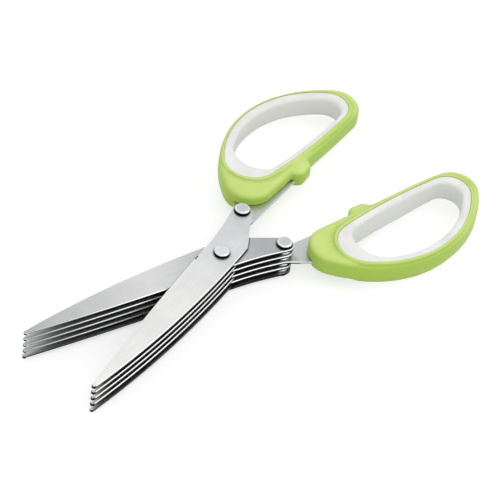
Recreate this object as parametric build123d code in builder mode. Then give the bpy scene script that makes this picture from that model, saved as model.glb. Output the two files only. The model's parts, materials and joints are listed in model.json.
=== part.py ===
from build123d import *
import os
from math import asin, cos, degrees, radians, sin, sqrt, tan

os.makedirs("parts", exist_ok=True)

# Herb scissors: two mirrored halves on one pivot rivet, each with five stacked blades.
# The origin lies on the pivot axis, on the lower face of the pivot rivet. Up is +Z.
# Each half has its own axis X: the blades point to -X, the handle to +X, and the
# handle bulges to +Y. Half a is turned by the rest angle, half b is its mirror image.
# All lengths are in millimetres.

# how far the photographed pair is open, each half from the middle line, in degrees
rest_angle = 12.5

# the stack of blades
pair_count = 5
pair_pitch = 3.0
blade_thickness = 1.0
face_gap = 0.05

# the outline of a blade, from the pivot axis
blade_length = 84.0
tip_radius = 0.85
tip_offset = 0.6
heel_distance = 8.2
heel_height = 6.55
cutting_bow = 0.55
notch_radius = 0.7
shoulder_drop = 6.2
shoulder_round = 1.2
spine_bow = 2.5
bevel_width = 0.9
bevel_height = 0.5

# the rounded rear end of a blade, about the rear rivet
rear_x = 24.2
rear_y = 6.0
rear_round = 3.65
rear_flank_slope = 10.0
rear_flank_sag = 0.9
rear_slope = 27.2

# the tang, which is one plate with the middle blade
tang_start_y = 2.5
tang_end_y = 1.2
tang_end_x = 57.0
tang_reach = 13.6
tang_margin = 2.8

# rivets, rings and washers
head_radius = 3.0
head_height = 1.4
head_round = 0.5
pivot_shank_radius = 2.0
rear_shank_radius = 1.75
shank_gap = 0.05
ring_radius = 2.9
washer_radius = 3.4
washer_gap = 0.05

# the seat of the grip liner: two end circles and two flank radii
seat_palm_x = 52.7
seat_palm_y = 18.9
seat_palm_radius = 10.8
seat_far_x = 98.0
seat_far_y = 11.1
seat_far_radius = 8.5
seat_outer_radius = 42.0
seat_inner_radius = 238.0

# the moulded handle round that seat
handle_thickness = 10.2
handle_lift = 0.9
outer_wall = 1.6
flank_drop = 3.3
flank_lean = 0.6
palm_turn = 18.5
palm_ease = 0.95
far_turn = 5.3
far_ease = 1.3
inner_radius = 2500.0
web_top_round = 2.3
web_bottom_round = 2.3

# the raised bead round the liner
bead_width = 1.4
bead_to_palm = 0.1
bead_to_inside = 0.3
bead_height = 0.6
bead_round = 1.0
crease_round = 0.6

# the stop nub on the inner side of each handle
nub_x = 62.3
nub_reach = 0.9
nub_base_width = 14.4
nub_peak_width = 6.8
nub_root = 4.6
nub_height = 7.6
nub_round = 1.9

# the grip liner
liner_step = 0.2
rim_outer = 3.3
rim_inner = 2.25
palm_tightening = 1.1
far_tightening = 2.0
rim_round = 1.6
rib_depth = 0.8
rib_height = 3.0

# worked out from the sizes above
stack_height = (pair_count - 1) * pair_pitch + 2 * blade_thickness + face_gap
stack_top = head_height + stack_height
tang_pair = pair_count // 2 + 1
handle_middle = head_height + stack_height / 2 + handle_lift
web_thickness = handle_thickness - 2 * bead_height
liner_thickness = handle_thickness - 2 * liner_step
ring_thickness = pair_pitch - blade_thickness
washer_thickness = pair_pitch - 2 * blade_thickness - face_gap - 2 * washer_gap

rear_centre = Vector(rear_x, rear_y)
tip_top = Vector(tip_radius - blade_length, tip_offset + tip_radius)
heel = Vector(-heel_distance, heel_height)
cutting_chord = heel - tip_top
cutting_normal = Vector(-cutting_chord.Y, cutting_chord.X).normalized()
cutting_middle = (tip_top + heel) / 2 + cutting_normal * cutting_bow
cutting_radius = cutting_chord.length**2 / (8 * cutting_bow) + cutting_bow / 2
cutting_centre = cutting_middle - cutting_normal * cutting_radius
seat = (
    Vector(seat_palm_x, seat_palm_y),
    seat_palm_radius,
    Vector(seat_far_x, seat_far_y),
    seat_far_radius,
    seat_outer_radius,
    seat_inner_radius,
)
bead_shift = Vector(-bead_to_palm, -bead_to_inside)
bead_loop = (seat[0] + bead_shift, seat[1], seat[2] + bead_shift, *seat[3:])


def half_plane(side, height):
    """The plane of one half at a height: side is 1 for half a and -1 for half b."""
    angle = radians(rest_angle)
    return Plane(origin=(0, 0, height), x_dir=(cos(angle), side * sin(angle), 0), z_dir=(0, 0, 1))


def on_side(point, side):
    """A point of the half's outline, mirrored for half b."""
    return Vector(point.X, side * point.Y)


def meeting_point(first, first_reach, second, second_reach, hand):
    """The point at these reaches from two points: hand is 1 left of the way to the second."""
    span = second - first
    along = (first_reach**2 - second_reach**2 + span.length**2) / (2 * span.length)
    across = sqrt(first_reach**2 - along**2)
    direction = span.normalized()
    return first + direction * along + Vector(-direction.Y, direction.X) * across * hand


def flank_centre(loop, bulge):
    """Centre of the flank arc that both end circles touch: bulge is 1 outside, -1 inside."""
    palm, palm_end, far, far_end, outer, inner = loop
    flank = outer if bulge > 0 else inner
    return meeting_point(palm, flank - palm_end, far, flank - far_end, -bulge)


def draw_shell_loop(side):
    """The handle's outline: a flatter outer flank than the seat's, with ends turned past the seat's."""
    palm, palm_end, far, far_end, outer, inner = seat
    centre = flank_centre(seat, 1) + Vector(flank_lean, -flank_drop)
    flank = outer + outer_wall + flank_drop
    towards_palm = (palm - centre).normalized().rotate(Axis.Z, palm_turn)
    towards_far = (far - centre).normalized().rotate(Axis.Z, -far_turn)
    shell_palm_end = palm_end - palm_ease
    shell_far_end = far_end + far_ease
    shell_palm = centre + towards_palm * (flank - shell_palm_end)
    shell_far = centre + towards_far * (flank - shell_far_end)
    draw_loop((shell_palm, shell_palm_end, shell_far, shell_far_end, flank, inner_radius), 0, side)


def draw_opening(side):
    """The liner's opening: both flanks keep their rim, and its ends are tighter than the seat's."""
    palm, palm_end, far, far_end, outer, inner = seat
    opening_outer = outer - rim_outer
    opening_inner = inner - rim_inner
    outer_centre = flank_centre(seat, 1)
    inner_centre = flank_centre(seat, -1)
    ends = []
    for end_radius, hand in ((palm_end - palm_tightening, 1), (far_end - far_tightening, -1)):
        outer_reach = opening_outer - end_radius
        inner_reach = opening_inner - end_radius
        ends += [meeting_point(outer_centre, outer_reach, inner_centre, inner_reach, hand), end_radius]
    draw_loop((*ends, opening_outer, opening_inner), 0, side)


def draw_loop(loop, grow, side):
    """A closed loop of four tangent arcs, moved outwards by grow."""
    palm, palm_end, far, far_end, outer, inner = loop
    outer_centre = flank_centre(loop, 1)
    inner_centre = flank_centre(loop, -1)
    away = (palm - far).normalized()

    def tangent_point(centre, end, end_radius):
        return end + (end - centre).normalized() * (end_radius + grow)

    def flank_middle(centre, flank):
        towards = (palm - centre).normalized() + (far - centre).normalized()
        return centre + towards.normalized() * (flank + grow)

    stations = [
        tangent_point(outer_centre, palm, palm_end),
        palm + away * (palm_end + grow),
        tangent_point(inner_centre, palm, palm_end),
        flank_middle(inner_centre, inner),
        tangent_point(inner_centre, far, far_end),
        far - away * (far_end + grow),
        tangent_point(outer_centre, far, far_end),
        flank_middle(outer_centre, outer),
    ]
    stations = [on_side(point, side) for point in stations]
    stations.append(stations[0])
    for start in range(0, len(stations) - 1, 2):
        ThreePointArc(*stations[start : start + 3])


def draw_blade(side):
    """The outline of one blade: tip, cutting edge, notch, round rear end and spine."""
    flank_angle = radians(rear_flank_slope)
    slope_angle = radians(rear_slope)
    tip_end = Vector(-blade_length, tip_offset)
    tip_bottom = Vector(tip_radius - blade_length, tip_offset - tip_radius)
    notch_floor = heel + Vector(notch_radius, -notch_radius)
    notch_end = heel + Vector(2 * notch_radius, 0)
    rear_top = rear_centre + Vector(-sin(flank_angle), cos(flank_angle)) * rear_round
    rear_end = rear_centre + Vector(cos(slope_angle), sin(slope_angle)) * rear_round
    rear_bottom = rear_centre + Vector(sin(slope_angle), -cos(slope_angle)) * rear_round
    shoulder = Vector(rear_bottom.X - (rear_bottom.Y + shoulder_drop) / tan(slope_angle), -shoulder_drop)
    rear_middle = (notch_end + rear_top) / 2 - Vector(0, rear_flank_sag)
    spine_middle = (shoulder + tip_bottom) / 2 - Vector(0, spine_bow)
    turned = [
        on_side(point, side)
        for point in (
            tip_top, cutting_middle, heel, notch_floor, notch_end, rear_middle,
            rear_top, rear_end, rear_bottom, shoulder, spine_middle, tip_bottom, tip_end,
        )
    ]
    ThreePointArc(*turned[0:3])
    ThreePointArc(*turned[2:5])
    ThreePointArc(*turned[4:7])
    ThreePointArc(*turned[6:9])
    Line(*turned[8:10])
    ThreePointArc(*turned[9:12])
    ThreePointArc(turned[11], turned[12], turned[0])


def draw_tang(side):
    """The tang: wide behind the rear rivet, then round the palm end of the liner to a strip."""
    flank_angle = radians(rear_flank_slope)
    slope_angle = radians(rear_slope)
    palm, palm_end = seat[0], seat[1]
    rear_top = rear_centre + Vector(-sin(flank_angle), cos(flank_angle)) * rear_round
    outer_corner = rear_top + Vector(cos(slope_angle), sin(slope_angle)) * tang_reach
    track = palm_end + tang_margin
    track_start = palm + (outer_corner - palm).normalized() * track
    strip_centre = flank_centre(seat, -1)
    track_end = palm + (palm - strip_centre).normalized() * track
    track_middle = palm + ((track_start + track_end) / 2 - palm).normalized() * track
    strip_drop = sqrt((seat_inner_radius + tang_margin) ** 2 - (tang_end_x - strip_centre.X) ** 2)
    strip_top = Vector(tang_end_x, strip_centre.Y - strip_drop)
    strip_end = Vector(tang_end_x, tang_end_y)
    strip_start = Vector(rear_x, tang_start_y)
    turned = [
        on_side(point, side)
        for point in (
            rear_top, outer_corner, track_start, track_middle, track_end, strip_top, strip_end, strip_start,
        )
    ]
    Polyline(*turned[0:3])
    ThreePointArc(*turned[2:5])
    Polyline(*turned[4:8], turned[0])


def bevel_plane(side, height):
    """The upright plane through the heel and the axis of the cutting edge's arc."""
    frame = half_plane(side, height)
    centre = frame.from_local_coords(on_side(cutting_centre, side))
    outward = (frame.from_local_coords(on_side(heel, side)) - centre).normalized()
    return Plane(origin=centre, x_dir=outward, z_dir=outward.cross(Vector(0, 0, 1)))


def blade_top(pair, side):
    """Height of a blade's upper face: pair 1 is the uppermost, blade a lies on blade b."""
    lower = 0 if side > 0 else blade_thickness + face_gap
    return stack_top - (pair - 1) * pair_pitch - lower


# blades
blades = {}
for name, side in (("a", 1), ("b", -1)):
    for pair in range(1, pair_count + 1):
        floor = blade_top(pair, side) - blade_thickness
        with BuildPart() as blade:
            with BuildSketch(half_plane(side, floor)):
                with BuildLine():
                    draw_blade(side)
                make_face()
                if pair == tang_pair:
                    with BuildLine():
                        draw_tang(side)
                    make_face()
                fillet(vertices().sort_by(Axis.Y)[0 if side > 0 else -1], radius=shoulder_round)
                with Locations((0, 0)):
                    Circle(pivot_shank_radius + shank_gap, mode=Mode.SUBTRACT)
                with Locations((rear_x, side * rear_y)):
                    Circle(rear_shank_radius + shank_gap, mode=Mode.SUBTRACT)
            extrude(amount=blade_thickness)
            bevelled_face = bevel_plane(side, floor + (blade_thickness if side > 0 else 0))
            with BuildSketch(bevelled_face):
                with BuildLine():
                    Polyline(
                        (cutting_radius - bevel_width, 0),
                        (cutting_radius + bevel_width, side * -2 * bevel_height),
                        (cutting_radius + bevel_width, 0),
                        close=True,
                    )
                make_face()
            bevel_sweep = 2 * degrees(asin(cutting_chord.length / 2 / cutting_radius))
            arc_axis = Axis(bevelled_face.origin, (0, 0, side))
            revolve(axis=arc_axis, revolution_arc=bevel_sweep, mode=Mode.SUBTRACT)
        blade.part.label = f"blade_{name}_{pair}"
        export_step(blade.part, f"parts/{blade.part.label}.step")
        blades[blade.part.label] = blade.part

# handles and liners
for name, side in (("a", 1), ("b", -1)):
    with BuildPart() as bead:
        with BuildSketch(half_plane(side, handle_middle - handle_thickness / 2)):
            with BuildLine():
                draw_loop(bead_loop, bead_width, side)
            make_face()
        extrude(amount=handle_thickness)
        fillet(bead.edges().group_by(Axis.Z)[0], radius=bead_round)
        fillet(bead.edges().group_by(Axis.Z)[-1], radius=bead_round)

    with BuildPart() as nub:
        with BuildSketch(half_plane(side, handle_middle - nub_height / 2)):
            with BuildLine():
                Polyline(
                    (nub_x - nub_base_width / 2, side * nub_root),
                    (nub_x - nub_peak_width / 2, side * -nub_reach),
                    (nub_x + nub_peak_width / 2, side * -nub_reach),
                    (nub_x + nub_base_width / 2, side * nub_root),
                    close=True,
                )
            make_face()
        extrude(amount=nub_height)
        outwards = Axis((0, 0, 0), half_plane(side, 0).y_dir)
        root = nub.faces().sort_by(outwards)[-1 if side > 0 else 0]
        fillet(nub.edges() - root.edges(), radius=nub_round)

    with BuildPart() as handle:
        with BuildSketch(half_plane(side, handle_middle - web_thickness / 2)):
            with BuildLine():
                draw_shell_loop(side)
            make_face()
        extrude(amount=web_thickness)
        fillet(handle.edges().group_by(Axis.Z)[0], radius=web_bottom_round)
        fillet(handle.edges().group_by(Axis.Z)[-1], radius=web_top_round)
        add(bead.part)
        fillet(handle.edges(Select.NEW), radius=crease_round)
        add(nub.part)
        with BuildSketch(half_plane(side, handle_middle - handle_thickness / 2)):
            with BuildLine():
                draw_loop(seat, 0, side)
            make_face()
        extrude(amount=handle_thickness, mode=Mode.SUBTRACT)
        with BuildSketch(half_plane(side, handle_middle - rib_height / 2)):
            with BuildLine():
                draw_loop(seat, rib_depth, side)
            make_face()
        extrude(amount=rib_height, mode=Mode.SUBTRACT)
        add(blades[f"blade_{name}_{tang_pair}"], mode=Mode.SUBTRACT)
    handle.part.label = f"handle_{name}"
    export_step(handle.part, f"parts/{handle.part.label}.step")

    with BuildPart() as liner:
        with BuildSketch(half_plane(side, handle_middle - liner_thickness / 2)):
            with BuildLine():
                draw_loop(seat, 0, side)
            make_face()
        extrude(amount=liner_thickness)
        with BuildSketch(half_plane(side, handle_middle - rib_height / 2)):
            with BuildLine():
                draw_loop(seat, rib_depth, side)
            make_face()
        extrude(amount=rib_height)
        with BuildSketch(half_plane(side, handle_middle - liner_thickness / 2)):
            with BuildLine():
                draw_opening(side)
            make_face()
        extrude(amount=liner_thickness, mode=Mode.SUBTRACT)
        for place in (0, -1):
            fillet(liner.faces().sort_by(Axis.Z)[place].inner_wires()[0].edges(), radius=rim_round)
    liner.part.label = f"grip_liner_{name}"
    export_step(liner.part, f"parts/{liner.part.label}.step")


def make_rivet(side, centre, shank_radius, floor, ceiling, label):
    """A shank from floor to ceiling with a flat round head under and over it."""
    with BuildPart() as rivet:
        with BuildSketch(half_plane(side, floor - head_height)):
            with Locations(centre):
                Circle(head_radius)
        extrude(amount=head_height)
        with BuildSketch(half_plane(side, floor)):
            with Locations(centre):
                Circle(shank_radius)
        extrude(amount=ceiling - floor)
        with BuildSketch(half_plane(side, ceiling)):
            with Locations(centre):
                Circle(head_radius)
        extrude(amount=head_height)
        fillet(rivet.edges().group_by(Axis.Z)[0], radius=head_round)
        fillet(rivet.edges().group_by(Axis.Z)[-1], radius=head_round)
    rivet.part.label = label
    export_step(rivet.part, f"parts/{label}.step")


def make_ring(side, centre, bore_radius, outer_radius, floor, thickness, label):
    """A flat ring on a rivet's shank."""
    with BuildPart() as ring:
        with BuildSketch(half_plane(side, floor)):
            with Locations(centre):
                Circle(outer_radius)
                Circle(bore_radius, mode=Mode.SUBTRACT)
        extrude(amount=thickness)
    ring.part.label = label
    export_step(ring.part, f"parts/{label}.step")


# the pivot rivet, and the washers between one pair of blades and the next
make_rivet(1, (0, 0), pivot_shank_radius, head_height, stack_top, "pivot_rivet")
for pair in range(1, pair_count):
    washer_floor = blade_top(pair + 1, 1) + washer_gap
    washer_bore = pivot_shank_radius + shank_gap
    make_ring(1, (0, 0), washer_bore, washer_radius, washer_floor, washer_thickness, f"pivot_spacer_{pair}")

# the rear rivets, and the rings between the blades of one half
for name, side in (("a", 1), ("b", -1)):
    rear = (rear_x, side * rear_y)
    lowest = blade_top(pair_count, side) - blade_thickness
    make_rivet(side, rear, rear_shank_radius, lowest, blade_top(1, side), f"rear_rivet_{name}")
    for pair in range(1, pair_count):
        ring_floor = blade_top(pair + 1, side)
        ring_bore = rear_shank_radius + shank_gap
        make_ring(side, rear, ring_bore, ring_radius, ring_floor, ring_thickness, f"rear_spacer_{name}_{pair}")
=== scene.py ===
"""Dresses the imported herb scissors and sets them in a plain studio."""

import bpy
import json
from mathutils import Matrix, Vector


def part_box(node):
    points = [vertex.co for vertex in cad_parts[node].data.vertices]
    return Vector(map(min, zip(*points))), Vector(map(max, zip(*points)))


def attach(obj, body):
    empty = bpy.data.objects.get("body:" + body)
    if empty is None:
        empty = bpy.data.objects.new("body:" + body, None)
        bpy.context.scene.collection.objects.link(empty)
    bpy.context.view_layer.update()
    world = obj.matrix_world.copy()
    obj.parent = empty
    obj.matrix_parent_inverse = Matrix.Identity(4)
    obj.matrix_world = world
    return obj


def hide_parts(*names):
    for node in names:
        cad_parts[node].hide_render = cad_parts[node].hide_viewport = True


bl_info = {
    "name": "Herb Scissors",
    "version": (1, 0, 0),
    "blender": (4, 5, 0),
    "location": "3D Viewport > Sidebar > Scissors",
    "description": "Detailed pieces, finishes and a studio for a pair of herb scissors",
    "category": "Object",
}

import json
from math import cos, radians, sin

import bmesh
import bpy
from bpy.props import FloatProperty, FloatVectorProperty, IntProperty, PointerProperty
from mathutils import Matrix, Vector

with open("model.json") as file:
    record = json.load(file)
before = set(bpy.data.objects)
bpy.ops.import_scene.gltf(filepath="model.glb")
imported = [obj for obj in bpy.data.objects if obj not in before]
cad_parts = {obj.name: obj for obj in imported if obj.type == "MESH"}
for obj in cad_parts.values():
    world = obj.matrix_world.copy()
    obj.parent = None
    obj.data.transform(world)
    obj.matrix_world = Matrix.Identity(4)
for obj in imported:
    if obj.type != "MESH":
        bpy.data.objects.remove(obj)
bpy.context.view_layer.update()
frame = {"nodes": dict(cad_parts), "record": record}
# each half's sign: its blades and handle are turned this way from the middle line
HALVES = {"a": 1, "b": -1}
HALF_TURN = radians(12.5)
PAIRS = 5
# a face's normal along Z: above LEVEL the face lies flat, and below UPRIGHT it is a wall
LEVEL = 0.999
UPRIGHT = 0.2
# a Mix node that mixes colours, and its sockets: SHARE is how much of OVER covers UNDER
COLOUR_MIX = {"data_type": "RGBA", "output": 2}
SHARE, UNDER, OVER = 0, 6, 7


def linear_colour(hex_colour):
    """An sRGB hex colour as linear red, green and blue, with an alpha of 1."""
    shares = [int(hex_colour[place : place + 2], 16) / 255 for place in (0, 2, 4)]
    linear = [s / 12.92 if s <= 0.04045 else ((s + 0.055) / 1.055) ** 2.4 for s in shares]
    return (*linear, 1.0)


def colour_property(name, description, hex_colour):
    """A colour that the user picks, starting from an sRGB hex colour."""
    return FloatVectorProperty(
        name=name,
        description=description,
        subtype="COLOR",
        size=4,
        min=0,
        max=1,
        default=linear_colour(hex_colour),
    )


def length_property(name, description, millimetres):
    """A length in metres, starting from a size in millimetres."""
    return FloatProperty(
        name=name,
        description=description,
        default=millimetres / 1000,
        min=0,
        unit="LENGTH",
        precision=5,
    )


# values a user would change


class BladeFinish(bpy.types.PropertyGroup):
    """Edges, grain and tones of the blades."""

    upper_edge: length_property(
        "Upper edge", "Width of the rolled-over upper edge that the punch leaves", 0.26
    )
    lower_edge: length_property("Lower edge", "Width of the tumbled lower edge", 0.08)
    grain_width: length_property("Grain width", "Width of one line of the satin grain", 0.35)
    # painted reflection: each half's steel runs lighter toward the tip, and half b is darker than
    # half a, as the studio light falls on their grain
    tip_a: colour_property("Tip, half a", "Steel at the tips of half a", "F4F4F2")
    body_a: colour_property("Middle, half a", "Steel along the middle of half a", "ECECEA")
    rear_a: colour_property("Rear, half a", "Steel behind the pivot of half a", "D6D9DB")
    tip_b: colour_property("Tip, half b", "Steel at the tips of half b", "BCBEBE")
    body_b: colour_property("Middle, half b", "Steel along the middle of half b", "DEDFDE")
    rear_b: colour_property("Rear, half b", "Steel behind the pivot of half b", "B2B6B7")
    # painted highlight: the rolled edge is painted brighter than the face
    edge_highlight: colour_property("Rolled edge", "Burnished steel of the upper edge", "F7F8F8")
    # painted dark reflection and shade: the walls, the gaps between the blades and the ring round
    # the rivet heads are painted near black
    painted_black: colour_property("Cut wall", "Sheared steel of the blade's wall", "16191A")
    tang_steel: colour_property("Tang", "Tumbled steel of the tang", "C3C7C6")
    tang_wall: colour_property("Tang wall", "Tumbled steel of the tang's wall", "B4B8B8")


class RivetFinish(bpy.types.PropertyGroup):
    """Form and tones of the rivets and rings."""

    head_height: length_property("Head height", "Height of one rivet head", 1.4)
    pivot_shank: length_property("Pivot shank", "Radius of the pivot rivet's shank", 2.0)
    rear_shank: length_property("Rear shank", "Radius of the rear rivets' shanks", 1.75)
    sides: IntProperty(name="Sides", description="Sides of the round heads", default=72, min=12)
    crown_steel: colour_property("Crown", "Tone of the rear rivets' flat crowns", "CCCED0")
    pivot_crown: colour_property("Pivot crown", "Tone of the pivot rivet's flat crown", "E2E4E5")
    # painted highlight: the rim round the crown is painted brighter than the crown
    rim_highlight: colour_property("Rim", "Tone of the burnished rim round the crown", "E6E8EA")
    # painted dark reflection and shade on the head's upright wall
    painted_wall_dark: colour_property("Wall", "Tone of the head's upright wall", "141617")
    ring_steel: colour_property(
        "Rings", "Tone of the rings and washers between the blades", "F2F4F4"
    )


class HandleFinish(bpy.types.PropertyGroup):
    """Skin and colours of the moulded handles."""

    skin_grid: length_property("Skin grid", "Grid that the moulded skin is laid on", 0.32)
    softness: IntProperty(
        name="Softness", description="Rounds of smoothing on all edges", default=2, min=0
    )
    nub_softness: IntProperty(
        name="Nub softness", description="Rounds of smoothing on the stop nub", default=60, min=0
    )
    pale_green: colour_property("Pale green", "Lighter tone of the upper faces", "D0E486")
    fresh_green: colour_property("Fresh green", "Deeper tone of the upper faces", "C5DC72")
    # painted shade: the upright walls are painted a deeper green than the upper faces
    shaded_wall_green: colour_property("Deep green", "Tone of the upright walls", "B2D553")
    # painted shade in the crease beside the bead
    crease_shade_green: colour_property("Line green", "Tone in the crease beside the bead", "7C9832")
    # painted shade where the handle meets steel
    contact_shade_green: colour_property("Dark green", "Tone where the handle meets steel", "5F7A2C")


class LinerFinish(bpy.types.PropertyGroup):
    """Skin and colours of the soft liners."""

    skin_grid: length_property("Skin grid", "Grid that the soft skin is laid on", 0.30)
    softness: IntProperty(
        name="Softness", description="Rounds of smoothing on all edges", default=5, min=0
    )
    palm_rim: length_property("Palm rim", "Extra thickness of the rim at the palm", 1.7)
    cheek_rim: length_property("Cheek rim", "Extra thickness of the rim beside the palm", 0.9)
    draft: length_property(
        "Draft", "Extra thickness at the foot of the wall on the nub's side", 1.6
    )
    pale_white: colour_property("White", "Lighter tone of the rims", "F1F1F0")
    soft_white: colour_property("Soft white", "Deeper tone of the rims", "E8E7E4")
    wall_white: colour_property("Wall white", "Tone of the upright inner wall", "EEF0EA")


class Studio(bpy.types.PropertyGroup):
    """Camera and light."""

    azimuth: FloatProperty(
        name="Azimuth",
        description="Camera's turn round the object",
        subtype="ANGLE",
        default=radians(-51.89),
    )
    elevation: FloatProperty(
        name="Elevation",
        description="Camera's height above the floor",
        subtype="ANGLE",
        default=radians(43.70),
    )
    roll: FloatProperty(
        name="Roll",
        description="Camera's turn about its own axis",
        subtype="ANGLE",
        default=radians(8.37),
    )
    distance: length_property("Distance", "Camera to the point that it aims at", 895.5)
    lens: FloatProperty(
        name="Lens", description="Focal length in millimetres", default=172.8, min=1
    )
    aim: FloatVectorProperty(
        name="Aim",
        description="Point in the middle of the picture",
        subtype="TRANSLATION",
        default=(0.01367, -0.00215, 0.010),
    )
    floor_colour: colour_property("Floor", "Colour of the painted board", "C4C4C4")
    floor_glow: FloatProperty(
        name="Floor glow", description="White that the eye sees on the board", default=0.60, min=0
    )
    room_colour: colour_property("Room", "Colour of the light from the room", "E8E8E8")
    key_power: FloatProperty(
        name="Key light", description="Power of the large lamp at the right", default=3.4, min=0
    )
    front_power: FloatProperty(
        name="Front light", description="Power of the lamp by the camera", default=1.6, min=0
    )


# helpers for materials


def add_node(owner, kind, inputs=(), output=0, **settings):
    """Adds a node and hands back one output; inputs gives sockets a value or what feeds them."""
    node = owner.node_tree.nodes.new("ShaderNode" + kind)
    for name, value in settings.items():
        setattr(node, name, value)
    for name, value in dict(inputs).items():
        if isinstance(value, bpy.types.NodeSocket):
            owner.node_tree.links.new(value, node.inputs[name])
        else:
            node.inputs[name].default_value = value
    return node.outputs[output] if node.outputs else None


def new_material(name):
    """An empty node material."""
    material = bpy.data.materials.new(name)
    material.use_nodes = True
    material.node_tree.nodes.clear()
    return material


def levelness(material):
    """1 on level faces and 0 on upright walls, whichever way the piece turns about the pivot."""
    facing = add_node(material, "TexCoord", output="Normal")
    upright = add_node(material, "SeparateXYZ", {"Vector": facing}, "Z")
    return add_node(material, "Math", {0: upright}, operation="ABSOLUTE")


def openness(material, millimetres, low, high, alone=False):
    """0 deep in a gap or crease, 1 in the open, looking this far round each point.

    The sky that a point sees counts as 0 up to low and as 1 from high. Alone, a piece is shaded
    by itself only.
    """
    reach = {"Distance": millimetres / 1000}
    sky = add_node(material, "AmbientOcclusion", reach, "AO", samples=16, only_local=alone)
    return add_node(material, "MapRange", {"Value": sky, "From Min": low, "From Max": high})


def ground_stainless_steel(name, finish, half, side):
    """Satin-ground stainless sheet, its edges rolled over and its walls cut by the punch.

    It gives soft grey faces with fine lines along the blade under a painted reflection that runs
    lighter toward the tip, painted highlights on the edges, and painted dark reflection and shade
    on the walls, in the gaps and round the rivet heads.
    """
    material = new_material(name)
    tip, body, rear = (getattr(finish, f"{part}_{half}") for part in ("tip", "body", "rear"))
    # places along the blade, in metres from the pivot: where the painted reflection's tones of the
    # tip, the middle and the rear are full, and where the tang and the blunt tip start and are full
    tip_place, body_place, rear_place = -0.082, -0.030, 0.020
    tang_start, tang_full = 0.0275, 0.0290
    blunt_start, blunt_full = -0.0826, -0.0831
    # the rolled edge carries its painted highlight only between these two places, coming up over
    # the rise and going over the fall
    shine_start, shine_end = {"a": (-0.095, 0.004), "b": (-0.070, 0.027)}[half]
    shine_rise, shine_fall = 0.030, 0.003
    # painted shade: light hardly gets between the blades, so their gaps are painted dark, and half
    # a's gaps darker than half b's
    gap_dark, gap_light = {"a": (0.34, 0.70), "b": (0.14, 0.42)}[half]
    # the very tip is sheared off blunt, and on half a it gets the wall's painted dark reflection
    sheared = {"a": finish.painted_black, "b": tip}[half]
    # the grind's lines are this many times as long as they are wide; real ones are too fine to
    # show in a picture, so these are drawn coarser
    line_stretch = 40

    place = add_node(material, "TexCoord", output="Object")
    # turned in line with the blade, so that X runs from its tip to its rear
    turned = {"Vector": place, "Rotation": (0, 0, side * HALF_TURN)}
    run = add_node(material, "Mapping", turned, vector_type="TEXTURE")
    run = add_node(material, "SeparateXYZ", {"Vector": run}, "X")
    drawn_out = {**turned, "Scale": (line_stretch, 1, 1)}
    grain = add_node(material, "Mapping", drawn_out, vector_type="TEXTURE")
    lines = {"Vector": grain, "Scale": 1 / finish.grain_width, "Detail": 3}
    grain = add_node(material, "TexNoise", lines, "Fac")
    # rolling leaves clouds about 12 mm across
    cloud = add_node(material, "TexNoise", {"Vector": place, "Scale": 1000 / 12}, "Fac")
    mottle = add_node(material, "Math", {0: grain, 1: cloud}, operation="MULTIPLY")
    mottle = add_node(material, "MapRange", {"Value": mottle, "From Min": 0.12, "From Max": 0.36})

    # painted reflection: the steel runs from the tip's tone through the middle's to the rear's
    behind_tip = {"Value": run, "From Min": tip_place, "From Max": body_place}
    behind_tip = add_node(material, "MapRange", behind_tip)
    behind_pivot = {"Value": run, "From Min": body_place, "From Max": rear_place}
    behind_pivot = add_node(material, "MapRange", behind_pivot)
    ground = {SHARE: behind_tip, UNDER: tip, OVER: body}
    ground = add_node(material, "Mix", ground, **COLOUR_MIX)
    ground = {SHARE: behind_pivot, UNDER: ground, OVER: rear}
    ground = add_node(material, "Mix", ground, **COLOUR_MIX)
    clouded = add_node(material, "HueSaturation", {"Color": ground, "Value": 0.89})
    ground = {SHARE: mottle, UNDER: clouded, OVER: ground}
    ground = add_node(material, "Mix", ground, **COLOUR_MIX)

    # the tang behind the stack is tumbled and plain grey all over, and the painted shade of the
    # gaps and round the rivet heads leaves it out
    tang = {"Value": run, "From Min": tang_start, "From Max": tang_full}
    tang = add_node(material, "MapRange", tang)
    ground = {SHARE: tang, UNDER: ground, OVER: finish.tang_steel}
    ground = add_node(material, "Mix", ground, **COLOUR_MIX)
    # painted dark reflection on the blade's wall; the tang's wall keeps its own grey
    wall = {SHARE: tang, UNDER: finish.painted_black, OVER: finish.tang_wall}
    wall = add_node(material, "Mix", wall, **COLOUR_MIX)
    # painted shade in the gaps between the blades
    clear = {0: openness(material, millimetres=8, low=gap_dark, high=gap_light), 1: tang}
    clear = add_node(material, "Math", clear, operation="MAXIMUM")
    ground = {SHARE: clear, UNDER: finish.painted_black, OVER: ground}
    ground = add_node(material, "Mix", ground, **COLOUR_MIX)

    # painted highlight on the rolled edge, fading in and out along the blade
    shine = {"Value": run, "From Min": shine_start, "From Max": shine_start + shine_rise}
    shine = add_node(material, "MapRange", shine)
    edge = {SHARE: shine, UNDER: ground, OVER: finish.edge_highlight}
    edge = add_node(material, "Mix", edge, **COLOUR_MIX)
    dull = {"Value": run, "From Min": shine_end, "From Max": shine_end + shine_fall}
    dull = add_node(material, "MapRange", dull)
    edge = add_node(material, "Mix", {SHARE: dull, UNDER: edge, OVER: ground}, **COLOUR_MIX)
    # at the blunt tip the edge takes the tip's tone: the painted dark reflection on half a, the
    # tip's painted reflection on half b
    sharp = {"Value": run, "From Min": blunt_full, "From Max": blunt_start}
    sharp = add_node(material, "MapRange", sharp)
    edge = add_node(material, "Mix", {SHARE: sharp, UNDER: sheared, OVER: edge}, **COLOUR_MIX)

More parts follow.
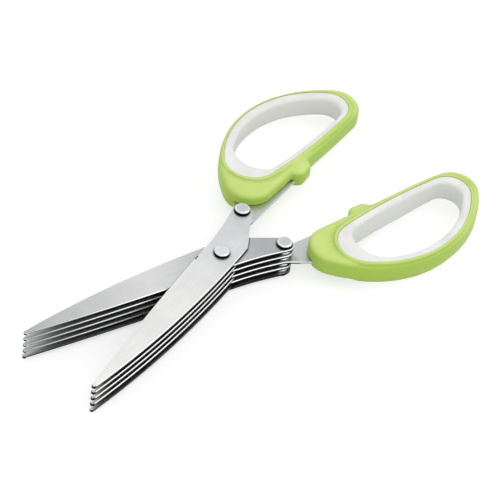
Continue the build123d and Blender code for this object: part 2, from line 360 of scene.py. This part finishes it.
    # how level the steel lies tells its face from the rolled edge, and the edge from the wall: the
    # edge gets a painted highlight and the wall a painted dark reflection
    level = levelness(material)
    on_edge = add_node(material, "MapRange", {"Value": level, "From Min": 0.93, "From Max": 0.80})
    on_wall = add_node(material, "MapRange", {"Value": level, "From Min": 0.45, "From Max": 0.30})
    tone = add_node(material, "Mix", {SHARE: on_edge, UNDER: ground, OVER: edge}, **COLOUR_MIX)
    tone = add_node(material, "Mix", {SHARE: on_wall, UNDER: tone, OVER: wall}, **COLOUR_MIX)
    # painted shadow: a thin dark line rings the rivet heads
    clear = {0: openness(material, millimetres=1.6, low=0.50, high=0.88), 1: tang}
    clear = add_node(material, "Math", clear, operation="MAXIMUM")
    tone = {SHARE: clear, UNDER: finish.painted_black, OVER: tone}
    tone = add_node(material, "Mix", tone, **COLOUR_MIX)
    satin = {"Value": grain, "From Min": 0.3, "From Max": 0.7, "To Min": 0.32, "To Max": 0.44}
    relief = {"Height": grain, "Strength": 0.25, "Distance": 0.00003}
    shader = {
        "Base Color": tone,
        "Metallic": 1.0,
        "Roughness": add_node(material, "MapRange", satin),
        "Normal": add_node(material, "Bump", relief),
    }
    add_node(material, "OutputMaterial", {"Surface": add_node(material, "BsdfPrincipled", shader)})
    return material


def pressed_rivet_steel(name, finish, bright):
    """Cold-pressed steel, tumbled smooth: a grey dimpled crown, a painted highlight on the rim and
    a painted dark reflection and shade on the wall.
    """
    material = new_material(name)
    place = add_node(material, "TexCoord", output="Object")
    # tumbling leaves dimples about 0.6 mm across
    dimple = add_node(material, "TexNoise", {"Vector": place, "Scale": 1000 / 0.6}, "Fac")
    raised = add_node(material, "MapRange", {"Value": dimple, "From Min": 0.35, "From Max": 0.60})
    worn = add_node(material, "HueSaturation", {"Color": bright, "Value": 0.86})
    crown = add_node(material, "Mix", {SHARE: raised, UNDER: worn, OVER: bright}, **COLOUR_MIX)
    # how level the steel lies tells the crown from its rim, and the rim from the wall: the rim gets
    # a painted highlight and the wall a painted dark reflection and shade
    level = levelness(material)
    on_rim = add_node(material, "MapRange", {"Value": level, "From Min": 0.99, "From Max": 0.96})
    on_wall = add_node(material, "MapRange", {"Value": level, "From Min": 0.84, "From Max": 0.72})
    tone = {SHARE: on_rim, UNDER: crown, OVER: finish.rim_highlight}
    tone = add_node(material, "Mix", tone, **COLOUR_MIX)
    tone = {SHARE: on_wall, UNDER: tone, OVER: finish.painted_wall_dark}
    tone = add_node(material, "Mix", tone, **COLOUR_MIX)
    polish = {"Value": dimple, "From Min": 0.3, "From Max": 0.7, "To Min": 0.22, "To Max": 0.32}
    relief = {"Height": dimple, "Strength": 0.2, "Distance": 0.00004}
    shader = {
        "Base Color": tone,
        "Metallic": 1.0,
        "Roughness": add_node(material, "MapRange", polish),
        "Normal": add_node(material, "Bump", relief),
    }
    add_node(material, "OutputMaterial", {"Surface": add_node(material, "BsdfPrincipled", shader)})
    return material


def turned_ring_steel(name, tone):
    """Bright turned steel rings, with fine tool lines round them that spread the glint."""
    material = new_material(name)
    place = add_node(material, "TexCoord", output="Object")
    # tool lines 0.15 mm apart, one above the other, and 30 times as long
    layers = {"Vector": place, "Scale": (30, 30, 1)}
    layers = add_node(material, "Mapping", layers, vector_type="TEXTURE")
    lines = add_node(material, "TexNoise", {"Vector": layers, "Scale": 1000 / 0.15}, "Fac")
    dull = add_node(material, "HueSaturation", {"Color": tone, "Value": 0.75})
    tone = {SHARE: lines, UNDER: dull, OVER: tone}
    relief = {"Height": lines, "Strength": 0.3, "Distance": 0.00003}
    shader = {
        "Base Color": add_node(material, "Mix", tone, **COLOUR_MIX),
        "Metallic": 1.0,
        "Roughness": 0.24,
        "Normal": add_node(material, "Bump", relief),
    }
    add_node(material, "OutputMaterial", {"Surface": add_node(material, "BsdfPrincipled", shader)})
    return material


def moulded_polypropylene(name, finish):
    """Injection-moulded polypropylene: light green with a soft sheen, with painted shade that
    deepens its walls, its crease beside the bead and where it meets steel.
    """
    material = new_material(name)
    place = add_node(material, "TexCoord", output="Object")
    # the pigment drifts over about 18 mm, and the mould's spark texture is about 0.25 mm
    drift = add_node(material, "TexNoise", {"Vector": place, "Scale": 1000 / 18}, "Fac")
    drift = add_node(material, "MapRange", {"Value": drift, "From Min": 0.35, "From Max": 0.65})
    spark = add_node(material, "TexNoise", {"Vector": place, "Scale": 1000 / 0.25}, "Fac")
    # painted shade: the upright walls turn a deeper green
    on_wall = {"Value": levelness(material), "From Min": 0.96, "From Max": 0.25}
    on_wall = add_node(material, "MapRange", on_wall)
    tone = {SHARE: drift, UNDER: finish.fresh_green, OVER: finish.pale_green}
    tone = add_node(material, "Mix", tone, **COLOUR_MIX)
    tone = {SHARE: on_wall, UNDER: tone, OVER: finish.shaded_wall_green}
    tone = add_node(material, "Mix", tone, **COLOUR_MIX)
    # painted shade: a thin dark line in the crease beside the raised bead
    clear = openness(material, millimetres=2.0, low=0.88, high=0.975, alone=True)
    tone = {SHARE: clear, UNDER: finish.crease_shade_green, OVER: tone}
    tone = add_node(material, "Mix", tone, **COLOUR_MIX)
    # painted shade: dark where the handle meets steel
    clear = openness(material, millimetres=2.2, low=0.18, high=0.70)
    tone = {SHARE: clear, UNDER: finish.contact_shade_green, OVER: tone}
    tone = add_node(material, "Mix", tone, **COLOUR_MIX)
    sheen = {"Value": spark, "From Min": 0.3, "From Max": 0.7, "To Min": 0.38, "To Max": 0.50}
    relief = {"Height": spark, "Strength": 0.15, "Distance": 0.00003}
    shader = {
        "Base Color": tone,
        "Roughness": add_node(material, "MapRange", sheen),
        "IOR": 1.49,
        "Subsurface Weight": 0.08,
        "Subsurface Scale": 0.002,
        "Normal": add_node(material, "Bump", relief),
    }
    add_node(material, "OutputMaterial", {"Surface": add_node(material, "BsdfPrincipled", shader)})
    return material


def soft_thermoplastic_rubber(name, finish):
    """Overmoulded thermoplastic rubber: off-white, matt and slightly waxy, with a drag texture."""
    material = new_material(name)
    place = add_node(material, "TexCoord", output="Object")
    # a matt skin 0.3 mm in grain, and handling marks about 9 mm across
    skin = {"Vector": place, "Scale": 1000 / 0.3, "Detail": 3}
    skin = add_node(material, "TexNoise", skin, "Fac")
    marks = {"Vector": place, "Scale": 1000 / 9, "Detail": 3}
    marks = add_node(material, "TexNoise", marks, "Fac")
    marks = add_node(material, "MapRange", {"Value": marks, "From Min": 0.35, "From Max": 0.65})
    on_wall = {"Value": levelness(material), "From Min": 0.85, "From Max": 0.20}
    on_wall = add_node(material, "MapRange", on_wall)
    tone = {SHARE: marks, UNDER: finish.soft_white, OVER: finish.pale_white}
    tone = add_node(material, "Mix", tone, **COLOUR_MIX)
    tone = {SHARE: on_wall, UNDER: tone, OVER: finish.wall_white}
    tone = add_node(material, "Mix", tone, **COLOUR_MIX)
    relief = {"Height": skin, "Strength": 0.2, "Distance": 0.00004}
    shader = {
        "Base Color": tone,
        "Roughness": 0.58,
        "IOR": 1.5,
        "Subsurface Weight": 0.1,
        "Subsurface Scale": 0.002,
        "Normal": add_node(material, "Bump", relief),
    }
    add_node(material, "OutputMaterial", {"Surface": add_node(material, "BsdfPrincipled", shader)})
    return material


def seen_directly(owner):
    """1 for the eye and what mirrors or passes light, 0 for the light that falls on things."""
    path = add_node(owner, "LightPath").node.outputs
    seen = {0: path["Is Camera Ray"], 1: path["Is Glossy Ray"]}
    seen = {0: add_node(owner, "Math", seen, operation="MAXIMUM"), 1: path["Is Transmission Ray"]}
    return add_node(owner, "Math", seen, operation="MAXIMUM")


def painted_board(name, tone, glow):
    """Matt painted board that keeps a faint shadow and otherwise looks white."""
    material = new_material(name)
    place = add_node(material, "TexCoord", output="Object")
    # roller marks about 60 mm across, only just there
    roller = add_node(material, "TexNoise", {"Vector": place, "Scale": 1000 / 60}, "Fac")
    faded = add_node(material, "HueSaturation", {"Color": tone, "Value": 0.985})
    paint = add_node(material, "Mix", {SHARE: roller, UNDER: faded, OVER: tone}, **COLOUR_MIX)
    strength = {0: seen_directly(material), 1: glow}
    strength = add_node(material, "Math", strength, operation="MULTIPLY")
    both = {
        0: add_node(material, "BsdfDiffuse", {"Color": paint}),
        1: add_node(material, "Emission", {"Strength": strength}),
    }
    add_node(material, "OutputMaterial", {"Surface": add_node(material, "AddShader", both)})
    return material


# helpers for pieces


def place_in_half(point, side):
    """A point along and across its half: blades lie to -X, the handle and cutting edges to +Y."""
    along = point.x * cos(HALF_TURN) + side * point.y * sin(HALF_TURN)
    across = side * point.y * cos(HALF_TURN) - point.x * sin(HALF_TURN)
    return Vector((along, across))


def make_active(piece):
    """Selects one piece alone."""
    bpy.ops.object.select_all(action="DESELECT")
    piece.select_set(True)
    bpy.context.view_layer.objects.active = piece


def start_editing(piece):
    """Opens one piece's mesh with everything in it selected."""
    make_active(piece)
    bpy.ops.object.mode_set(mode="EDIT")
    bpy.ops.mesh.select_mode(type="FACE")
    bpy.ops.mesh.select_all(action="SELECT")


def select_where(piece, kind, wanted):
    """Selects only the faces or edges of the open mesh that pass a test."""
    bpy.ops.mesh.select_mode(type={"faces": "FACE", "edges": "EDGE"}[kind])
    bpy.ops.mesh.select_all(action="DESELECT")
    mesh = bmesh.from_edit_mesh(piece.data)
    mesh.normal_update()
    for part in getattr(mesh, kind):
        if wanted(part):
            part.select_set(True)
    bmesh.update_edit_mesh(piece.data)


def merged_copy(node, name):
    """A copy of a CAD node with its loose triangles merged into one closed mesh."""
    piece = bpy.data.objects.new(name, frame["nodes"][node].data.copy())
    piece.data.name = name
    bpy.context.scene.collection.objects.link(piece)
    start_editing(piece)
    # corners of neighbouring triangles are the same point, so half a micrometre finds them
    bpy.ops.mesh.remove_doubles(threshold=0.0000005)
    bpy.ops.mesh.customdata_custom_splitnormals_clear()
    bpy.ops.object.mode_set(mode="OBJECT")
    return piece


def finish_piece(piece, material, node, smooth_angle):
    """Gives a piece its finish and smooth shading, and lets it stand for its CAD node."""
    make_active(piece)
    bpy.ops.object.shade_smooth_by_angle(angle=radians(smooth_angle))
    piece.data.materials.clear()
    piece.data.materials.append(material)
    bodies = frame["record"]["behaviour"]["bodies"]
    body = next(name for name, members in bodies.items() if node in members)
    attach(piece, body)
    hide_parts(node)


def apply_modifier(piece, kind, **settings):
    """Adds one modifier to a piece and applies it."""
    modifier = piece.modifiers.new(kind.title(), kind)
    for name, value in settings.items():
        setattr(modifier, name, value)
    make_active(piece)
    bpy.ops.object.modifier_apply(modifier=modifier.name)


def soft_skin(node, name, grid, softness):
    """A moulded skin over a CAD node: an even grid, with every edge eased."""
    piece = merged_copy(node, name)
    piece.data.remesh_voxel_size = grid
    piece.data.remesh_voxel_adaptivity = 0
    bpy.ops.object.voxel_remesh()
    apply_modifier(piece, "SMOOTH", factor=0.5, iterations=softness)
    return piece


def mark_skin(piece, group, share_at):
    """Gathers part of a skin in a vertex group, each point by its share."""
    marked = piece.vertex_groups.new(name=group)
    for vertex in piece.data.vertices:
        share = share_at(vertex)
        if share > 0:
            marked.add((vertex.index,), min(share, 1.0), "REPLACE")


def push_skin(piece, group, axis, distance, share_at):
    """Pushes part of a skin along one axis, each point by its share of the distance."""
    mark_skin(piece, group, share_at)
    push = {"direction": axis, "mid_level": 0, "strength": distance, "vertex_group": group}
    apply_modifier(piece, "DISPLACE", **push)


def round_nub(piece, side, softness):
    """Smooths a handle's stop nub, and nothing else on the handle."""
    # the nub's middle along the half, how far it reaches either way, where across the half it
    # meets the loop, and the length over which the smoothing comes in
    nub_middle = 0.0623
    nub_reach = 0.0095
    nub_root = 0.0042
    nub_fade = 0.0022

    def nub_share(vertex):
        """Full on the nub, and none past its ends or its root."""
        place = place_in_half(vertex.co, side)
        return min(nub_reach - abs(place.x - nub_middle), nub_root - place.y) / nub_fade

    mark_skin(piece, "nub", nub_share)
    apply_modifier(piece, "SMOOTH", factor=0.5, iterations=softness, vertex_group="nub")


def fill_liner(piece, finish, side, foot, top):
    """Thickens a liner's rim round the palm, and its wall on the nub's side down to its foot."""
    # the middle of the liner's arc at the palm, how far from it the push starts, and the length
    # over which it comes in
    rim_middle = Vector((0.0527, 0.0189))
    rim_reach = 0.0096
    rim_fade = 0.0014
    # the push at the palm ends where the way out from that middle runs rearwards by this share
    rim_spread = 0.4
    # the loop's middle line falls by this share of its run
    line_fall = 0.172
    # the draft fades out up to this place along the half, and takes in only what faces across it
    draft_end = 0.098
    draft_fade = 0.020
    facing_start = 0.35
    facing_fade = 0.4

    def inside(spot):
        """0 on the rim's outer part and 1 on the wall, round the palm's arc."""
        return min((rim_reach - spot.length) / rim_fade, 1.0)

    def palm_share(vertex):
        """Full in the middle of the palm and none well past the arc's ends."""
        spot = place_in_half(vertex.co, side) - rim_middle
        sweep = max((rim_spread - spot.x / spot.length) / (rim_spread + 1), 0)
        return inside(spot) * sweep**2 * (3 - 2 * sweep)

    def cheek_share(vertex):
        """Full beside the palm, on the loop's outer side."""
        spot = place_in_half(vertex.co, side) - rim_middle
        return inside(spot) * max(spot.y / spot.length, 0)

    def draft_share(vertex):
        """Full at the foot of the wall on the nub's side, none at its top or at the far end."""
        spot = place_in_half(vertex.co, side) - rim_middle
        if spot.y > -line_fall * spot.x:
            return 0
        across = place_in_half(vertex.normal, side).y
        facing = min(max((across - facing_start) / facing_fade, 0), 1)
        ahead = min(max((draft_end - rim_middle.x - spot.x) / draft_fade, 0), 1)
        return facing * ahead * (top - vertex.co.z) / (top - foot)

    push_skin(piece, "palm rim", "X", finish.palm_rim, palm_share)
    push_skin(piece, "palm cheek", "Y", -side * finish.cheek_rim, cheek_share)
    push_skin(piece, "draft", "Y", side * finish.draft, draft_share)


# the pieces and the stage


class HERB_OT_grind_blades(bpy.types.Operator):
    """Rolls and breaks the edges of the ten blades and gives them a satin grain"""

    bl_idname = "herb.grind_blades"
    bl_label = "Grind blades"

    def execute(self, context):
        finish = context.scene.herb_blades
        # the notch at the cutting edge's heel stays sharp
        notch = Vector((-0.0075, 0.00655))
        notch_reach = 0.0015
        # flat faces this close to one plane become one, and so do a wall's pairs of triangles
        flat_angle = radians(0.3)
        wall_angle = radians(0.05)
        any_shape = radians(180)

        def rim_test(way, side):
            """Tests for an edge between a wall and the face that points this way along Z."""

            def on_rim(edge):
                levels = sorted(way * face.normal.z for face in edge.link_faces)
                middle = (edge.verts[0].co + edge.verts[1].co) / 2
                clear = (place_in_half(middle, side) - notch).length > notch_reach
                return clear and len(levels) == 2 and levels[1] > LEVEL and abs(levels[0]) < UPRIGHT

            return on_rim

        for half, side in HALVES.items():
            steel = ground_stainless_steel(f"Ground stainless steel {half}", finish, half, side)
            for pair in range(1, PAIRS + 1):
                node = f"blade_{half}_{pair}"
                piece = merged_copy(node, f"ground_{node}")
                start_editing(piece)
                select_where(piece, "faces", lambda face: abs(face.normal.z) > LEVEL)
                bpy.ops.mesh.dissolve_limited(angle_limit=flat_angle)
                bpy.ops.mesh.select_all(action="INVERT")
                bpy.ops.mesh.tris_convert_to_quads(
                    face_threshold=wall_angle, shape_threshold=any_shape
                )
                # the lowest blade's upper edge is left sharp, so it gets no painted highlight
                upper_rim = () if pair == PAIRS else ((1, finish.upper_edge),)
                for way, width in (*upper_rim, (-1, finish.lower_edge)):
                    select_where(piece, "edges", rim_test(way, side))
                    bpy.ops.mesh.bevel(
                        offset=width, segments=1, affect="EDGES", clamp_overlap=False
                    )
                bpy.ops.object.mode_set(mode="OBJECT")
                finish_piece(piece, steel, node, smooth_angle=25)
        return {"FINISHED"}


class HERB_OT_press_rivets(bpy.types.Operator):
    """Presses the three rivets, each a shank with an undercut round head at both ends"""

    bl_idname = "herb.press_rivets"
    bl_label = "Press rivets"

    def execute(self, context):
        finish = context.scene.herb_rivets
        pivot_steel = pressed_rivet_steel("Polished rivet steel", finish, finish.pivot_crown)
        rear_steel = pressed_rivet_steel("Tumbled rivet steel", finish, finish.crown_steel)
        # steps up a head from its foot: share of the height, then share of the radius
        steps = (
            (0, 0.93),
            (0.12, 0.97),
            (0.30, 1.0),
            (0.55, 1.0),
            (0.72, 0.97),
            (0.88, 0.88),
            (1.0, 0.74),
        )
        # rings inside the upper crown, as shares of the radius, hold its middle flat to the eye
        crown_rings = (0.08, 0.25)
        height = finish.head_height
        for node in ("pivot_rivet", "rear_rivet_a", "rear_rivet_b"):
            low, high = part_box(node)
            centre = (low + high) / 2
            radius = (high.x - low.x) / 2
            shank, steel = finish.rear_shank, rear_steel
            if node == "pivot_rivet":
                shank, steel = finish.pivot_shank, pivot_steel
            foot, upper_foot = low.z + height, high.z - height
            # level and radius, from the lower crown to the upper one
            profile = [(foot - height * up, radius * out) for up, out in reversed(steps)]
            profile += [(foot, shank), (upper_foot, shank)]
            profile += [(upper_foot + height * up, radius * out) for up, out in steps]
            bottom, bottom_radius = profile[0]
            bpy.ops.object.select_all(action="DESELECT")
            bpy.ops.mesh.primitive_circle_add(
                vertices=finish.sides,
                radius=bottom_radius,
                fill_type="NGON",
                location=(centre.x, centre.y, bottom),
            )
            piece = context.object
            piece.name = f"pressed_{node}"
            start_editing(piece)
            for (start, start_radius), (end, end_radius) in zip(profile, profile[1:]):
                rise = {"value": (0, 0, end - start)}
                bpy.ops.mesh.extrude_region_move(TRANSFORM_OT_translate=rise)
                share = end_radius / start_radius
                bpy.ops.transform.resize(
                    value=(share, share, 1), center_override=(centre.x, centre.y, end)
                )
            for width in crown_rings:
                bpy.ops.mesh.inset(thickness=radius * width)
            bpy.ops.mesh.select_all(action="SELECT")
            bpy.ops.mesh.normals_make_consistent(inside=False)
            bpy.ops.object.mode_set(mode="OBJECT")
            bpy.ops.object.transform_apply(location=True, rotation=True, scale=True)
            finish_piece(piece, steel, node, smooth_angle=22)
        return {"FINISHED"}


class HERB_OT_finish_rings(bpy.types.Operator):
    """Gives the rings and washers between the blades their turned finish"""

    bl_idname = "herb.finish_rings"
    bl_label = "Finish rings"

    def execute(self, context):
        steel = turned_ring_steel("Turned ring steel", context.scene.herb_rivets.ring_steel)
        for name, node in frame["nodes"].items():
            if "spacer" in name:
                node.material_slots[0].material = steel
        return {"FINISHED"}


class HERB_OT_mould_handles(bpy.types.Operator):
    """Moulds the two handles with eased edges and a rounded stop nub in light green plastic"""

    bl_idname = "herb.mould_handles"
    bl_label = "Mould handles"

    def execute(self, context):
        finish = context.scene.herb_handles
        plastic = moulded_polypropylene("Moulded polypropylene", finish)
        for half, side in HALVES.items():
            node = f"handle_{half}"
            piece = soft_skin(node, f"moulded_{node}", finish.skin_grid, finish.softness)
            round_nub(piece, side, finish.nub_softness)
            finish_piece(piece, plastic, node, smooth_angle=60)
        return {"FINISHED"}


class HERB_OT_mould_liners(bpy.types.Operator):
    """Moulds the two soft liners with eased rims in off-white rubber"""

    bl_idname = "herb.mould_liners"
    bl_label = "Mould liners"

    def execute(self, context):
        finish = context.scene.herb_liners
        rubber = soft_thermoplastic_rubber("Soft thermoplastic rubber", finish)
        for half, side in HALVES.items():
            node = f"grip_liner_{half}"
            low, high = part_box(node)
            piece = soft_skin(node, f"soft_{node}", finish.skin_grid, finish.softness)
            fill_liner(piece, finish, side, foot=low.z, top=high.z)
            finish_piece(piece, rubber, node, smooth_angle=60)
        return {"FINISHED"}


class HERB_OT_set_studio(bpy.types.Operator):
    """Lays the pale floor, hangs the soft lamps and places the camera"""

    bl_idname = "herb.set_studio"
    bl_label = "Set studio"

    def execute(self, context):
        studio = context.scene.herb_studio
        scene = context.scene
        # the floor lies just under the rivet that the scissors rest on, so that they don't meet
        floor_size = 12
        floor_drop = 0.0001
        # each lamp's name, place, width and power; both lamps are square and face the pivot
        lamps = (
            ("key_lamp", (0.62, -0.75, 1.10), 1.2, studio.key_power),
            ("front_lamp", (-0.62, -0.42, 1.0), 0.5, studio.front_power),
        )
        white = (1.0, 1.0, 1.0, 1.0)
        # the width of a full-frame sensor, in millimetres, and how near and far the camera sees
        sensor_width = 36
        nearest, furthest = 0.05, 20

        bpy.ops.object.select_all(action="DESELECT")
        bpy.ops.mesh.primitive_plane_add(size=floor_size, location=(0, 0, -floor_drop))
        floor = context.object
        floor.name = "studio_floor"
        paint = painted_board("Matt painted board", studio.floor_colour, studio.floor_glow)
        floor.data.materials.append(paint)

        room = bpy.data.worlds.new("Studio room")
        room.use_nodes = True
        light = room.node_tree.nodes["Background"]
        tone = {SHARE: seen_directly(room), UNDER: studio.room_colour, OVER: white}
        tone = add_node(room, "Mix", tone, **COLOUR_MIX)
        room.node_tree.links.new(tone, light.inputs["Color"])
        scene.world = room

        for name, place, width, power in lamps:
            lamp = bpy.data.lights.new(name, "AREA")
            lamp.shape = "SQUARE"
            lamp.size = width
            lamp.energy = power
            holder = bpy.data.objects.new(name, lamp)
            holder.location = place
            holder.rotation_euler = (-Vector(place)).to_track_quat("-Z", "Y").to_euler()
            scene.collection.objects.link(holder)

        lens = bpy.data.cameras.new("photo_camera")
        lens.sensor_width = sensor_width
        lens.lens = studio.lens
        lens.clip_start = nearest
        lens.clip_end = furthest
        camera = bpy.data.objects.new("photo_camera", lens)
        back = Vector(
            (
                sin(studio.azimuth) * cos(studio.elevation),
                -cos(studio.azimuth) * cos(studio.elevation),
                sin(studio.elevation),
            )
        )
        camera.location = Vector(studio.aim) + back * studio.distance
        look = (-back).to_track_quat("-Z", "Y")
        look.rotate(Matrix.Rotation(studio.roll, 3, back))
        camera.rotation_euler = look.to_euler()
        scene.collection.objects.link(camera)
        scene.camera = camera
        scene.view_settings.view_transform = "Standard"
        return {"FINISHED"}


class HERB_PT_scissors(bpy.types.Panel):
    """Everything that makes the scissors and their studio"""

    bl_idname = "HERB_PT_scissors"
    bl_label = "Herb scissors"
    bl_space_type = "VIEW_3D"
    bl_region_type = "UI"
    bl_category = "Scissors"

    def draw(self, context):
        for settings, steps in SECTIONS.items():
            box = self.layout.box()
            group = getattr(context.scene, settings)
            for name in group.__annotations__:
                box.prop(group, name)
            for step in steps:
                box.operator(step.bl_idname)


# each group of values, by its name in the scene, with the steps that use it
SECTIONS = {
    "herb_blades": (HERB_OT_grind_blades,),
    "herb_rivets": (HERB_OT_press_rivets, HERB_OT_finish_rings),
    "herb_handles": (HERB_OT_mould_handles,),
    "herb_liners": (HERB_OT_mould_liners,),
    "herb_studio": (HERB_OT_set_studio,),
}
GROUPS = dict(zip(SECTIONS, (BladeFinish, RivetFinish, HandleFinish, LinerFinish, Studio)))


def register():
    """Makes the values, the steps and the panel known to Blender."""
    for group in GROUPS.values():
        bpy.utils.register_class(group)
    for steps in SECTIONS.values():
        for step in steps:
            bpy.utils.register_class(step)
    bpy.utils.register_class(HERB_PT_scissors)
    for name, group in GROUPS.items():
        setattr(bpy.types.Scene, name, PointerProperty(type=group))


def unregister():
    """Takes out what register put in."""
    for name in GROUPS:
        delattr(bpy.types.Scene, name)
    bpy.utils.unregister_class(HERB_PT_scissors)
    for steps in reversed(SECTIONS.values()):
        for step in steps:
            bpy.utils.unregister_class(step)
    for group in GROUPS.values():
        bpy.utils.unregister_class(group)


def main():
    """Makes every piece and the stage."""
    register()
    bpy.ops.herb.grind_blades()
    bpy.ops.herb.press_rivets()
    bpy.ops.herb.finish_rings()
    bpy.ops.herb.mould_handles()
    bpy.ops.herb.mould_liners()
    bpy.ops.herb.set_studio()


if __name__ == "__main__":
    main()
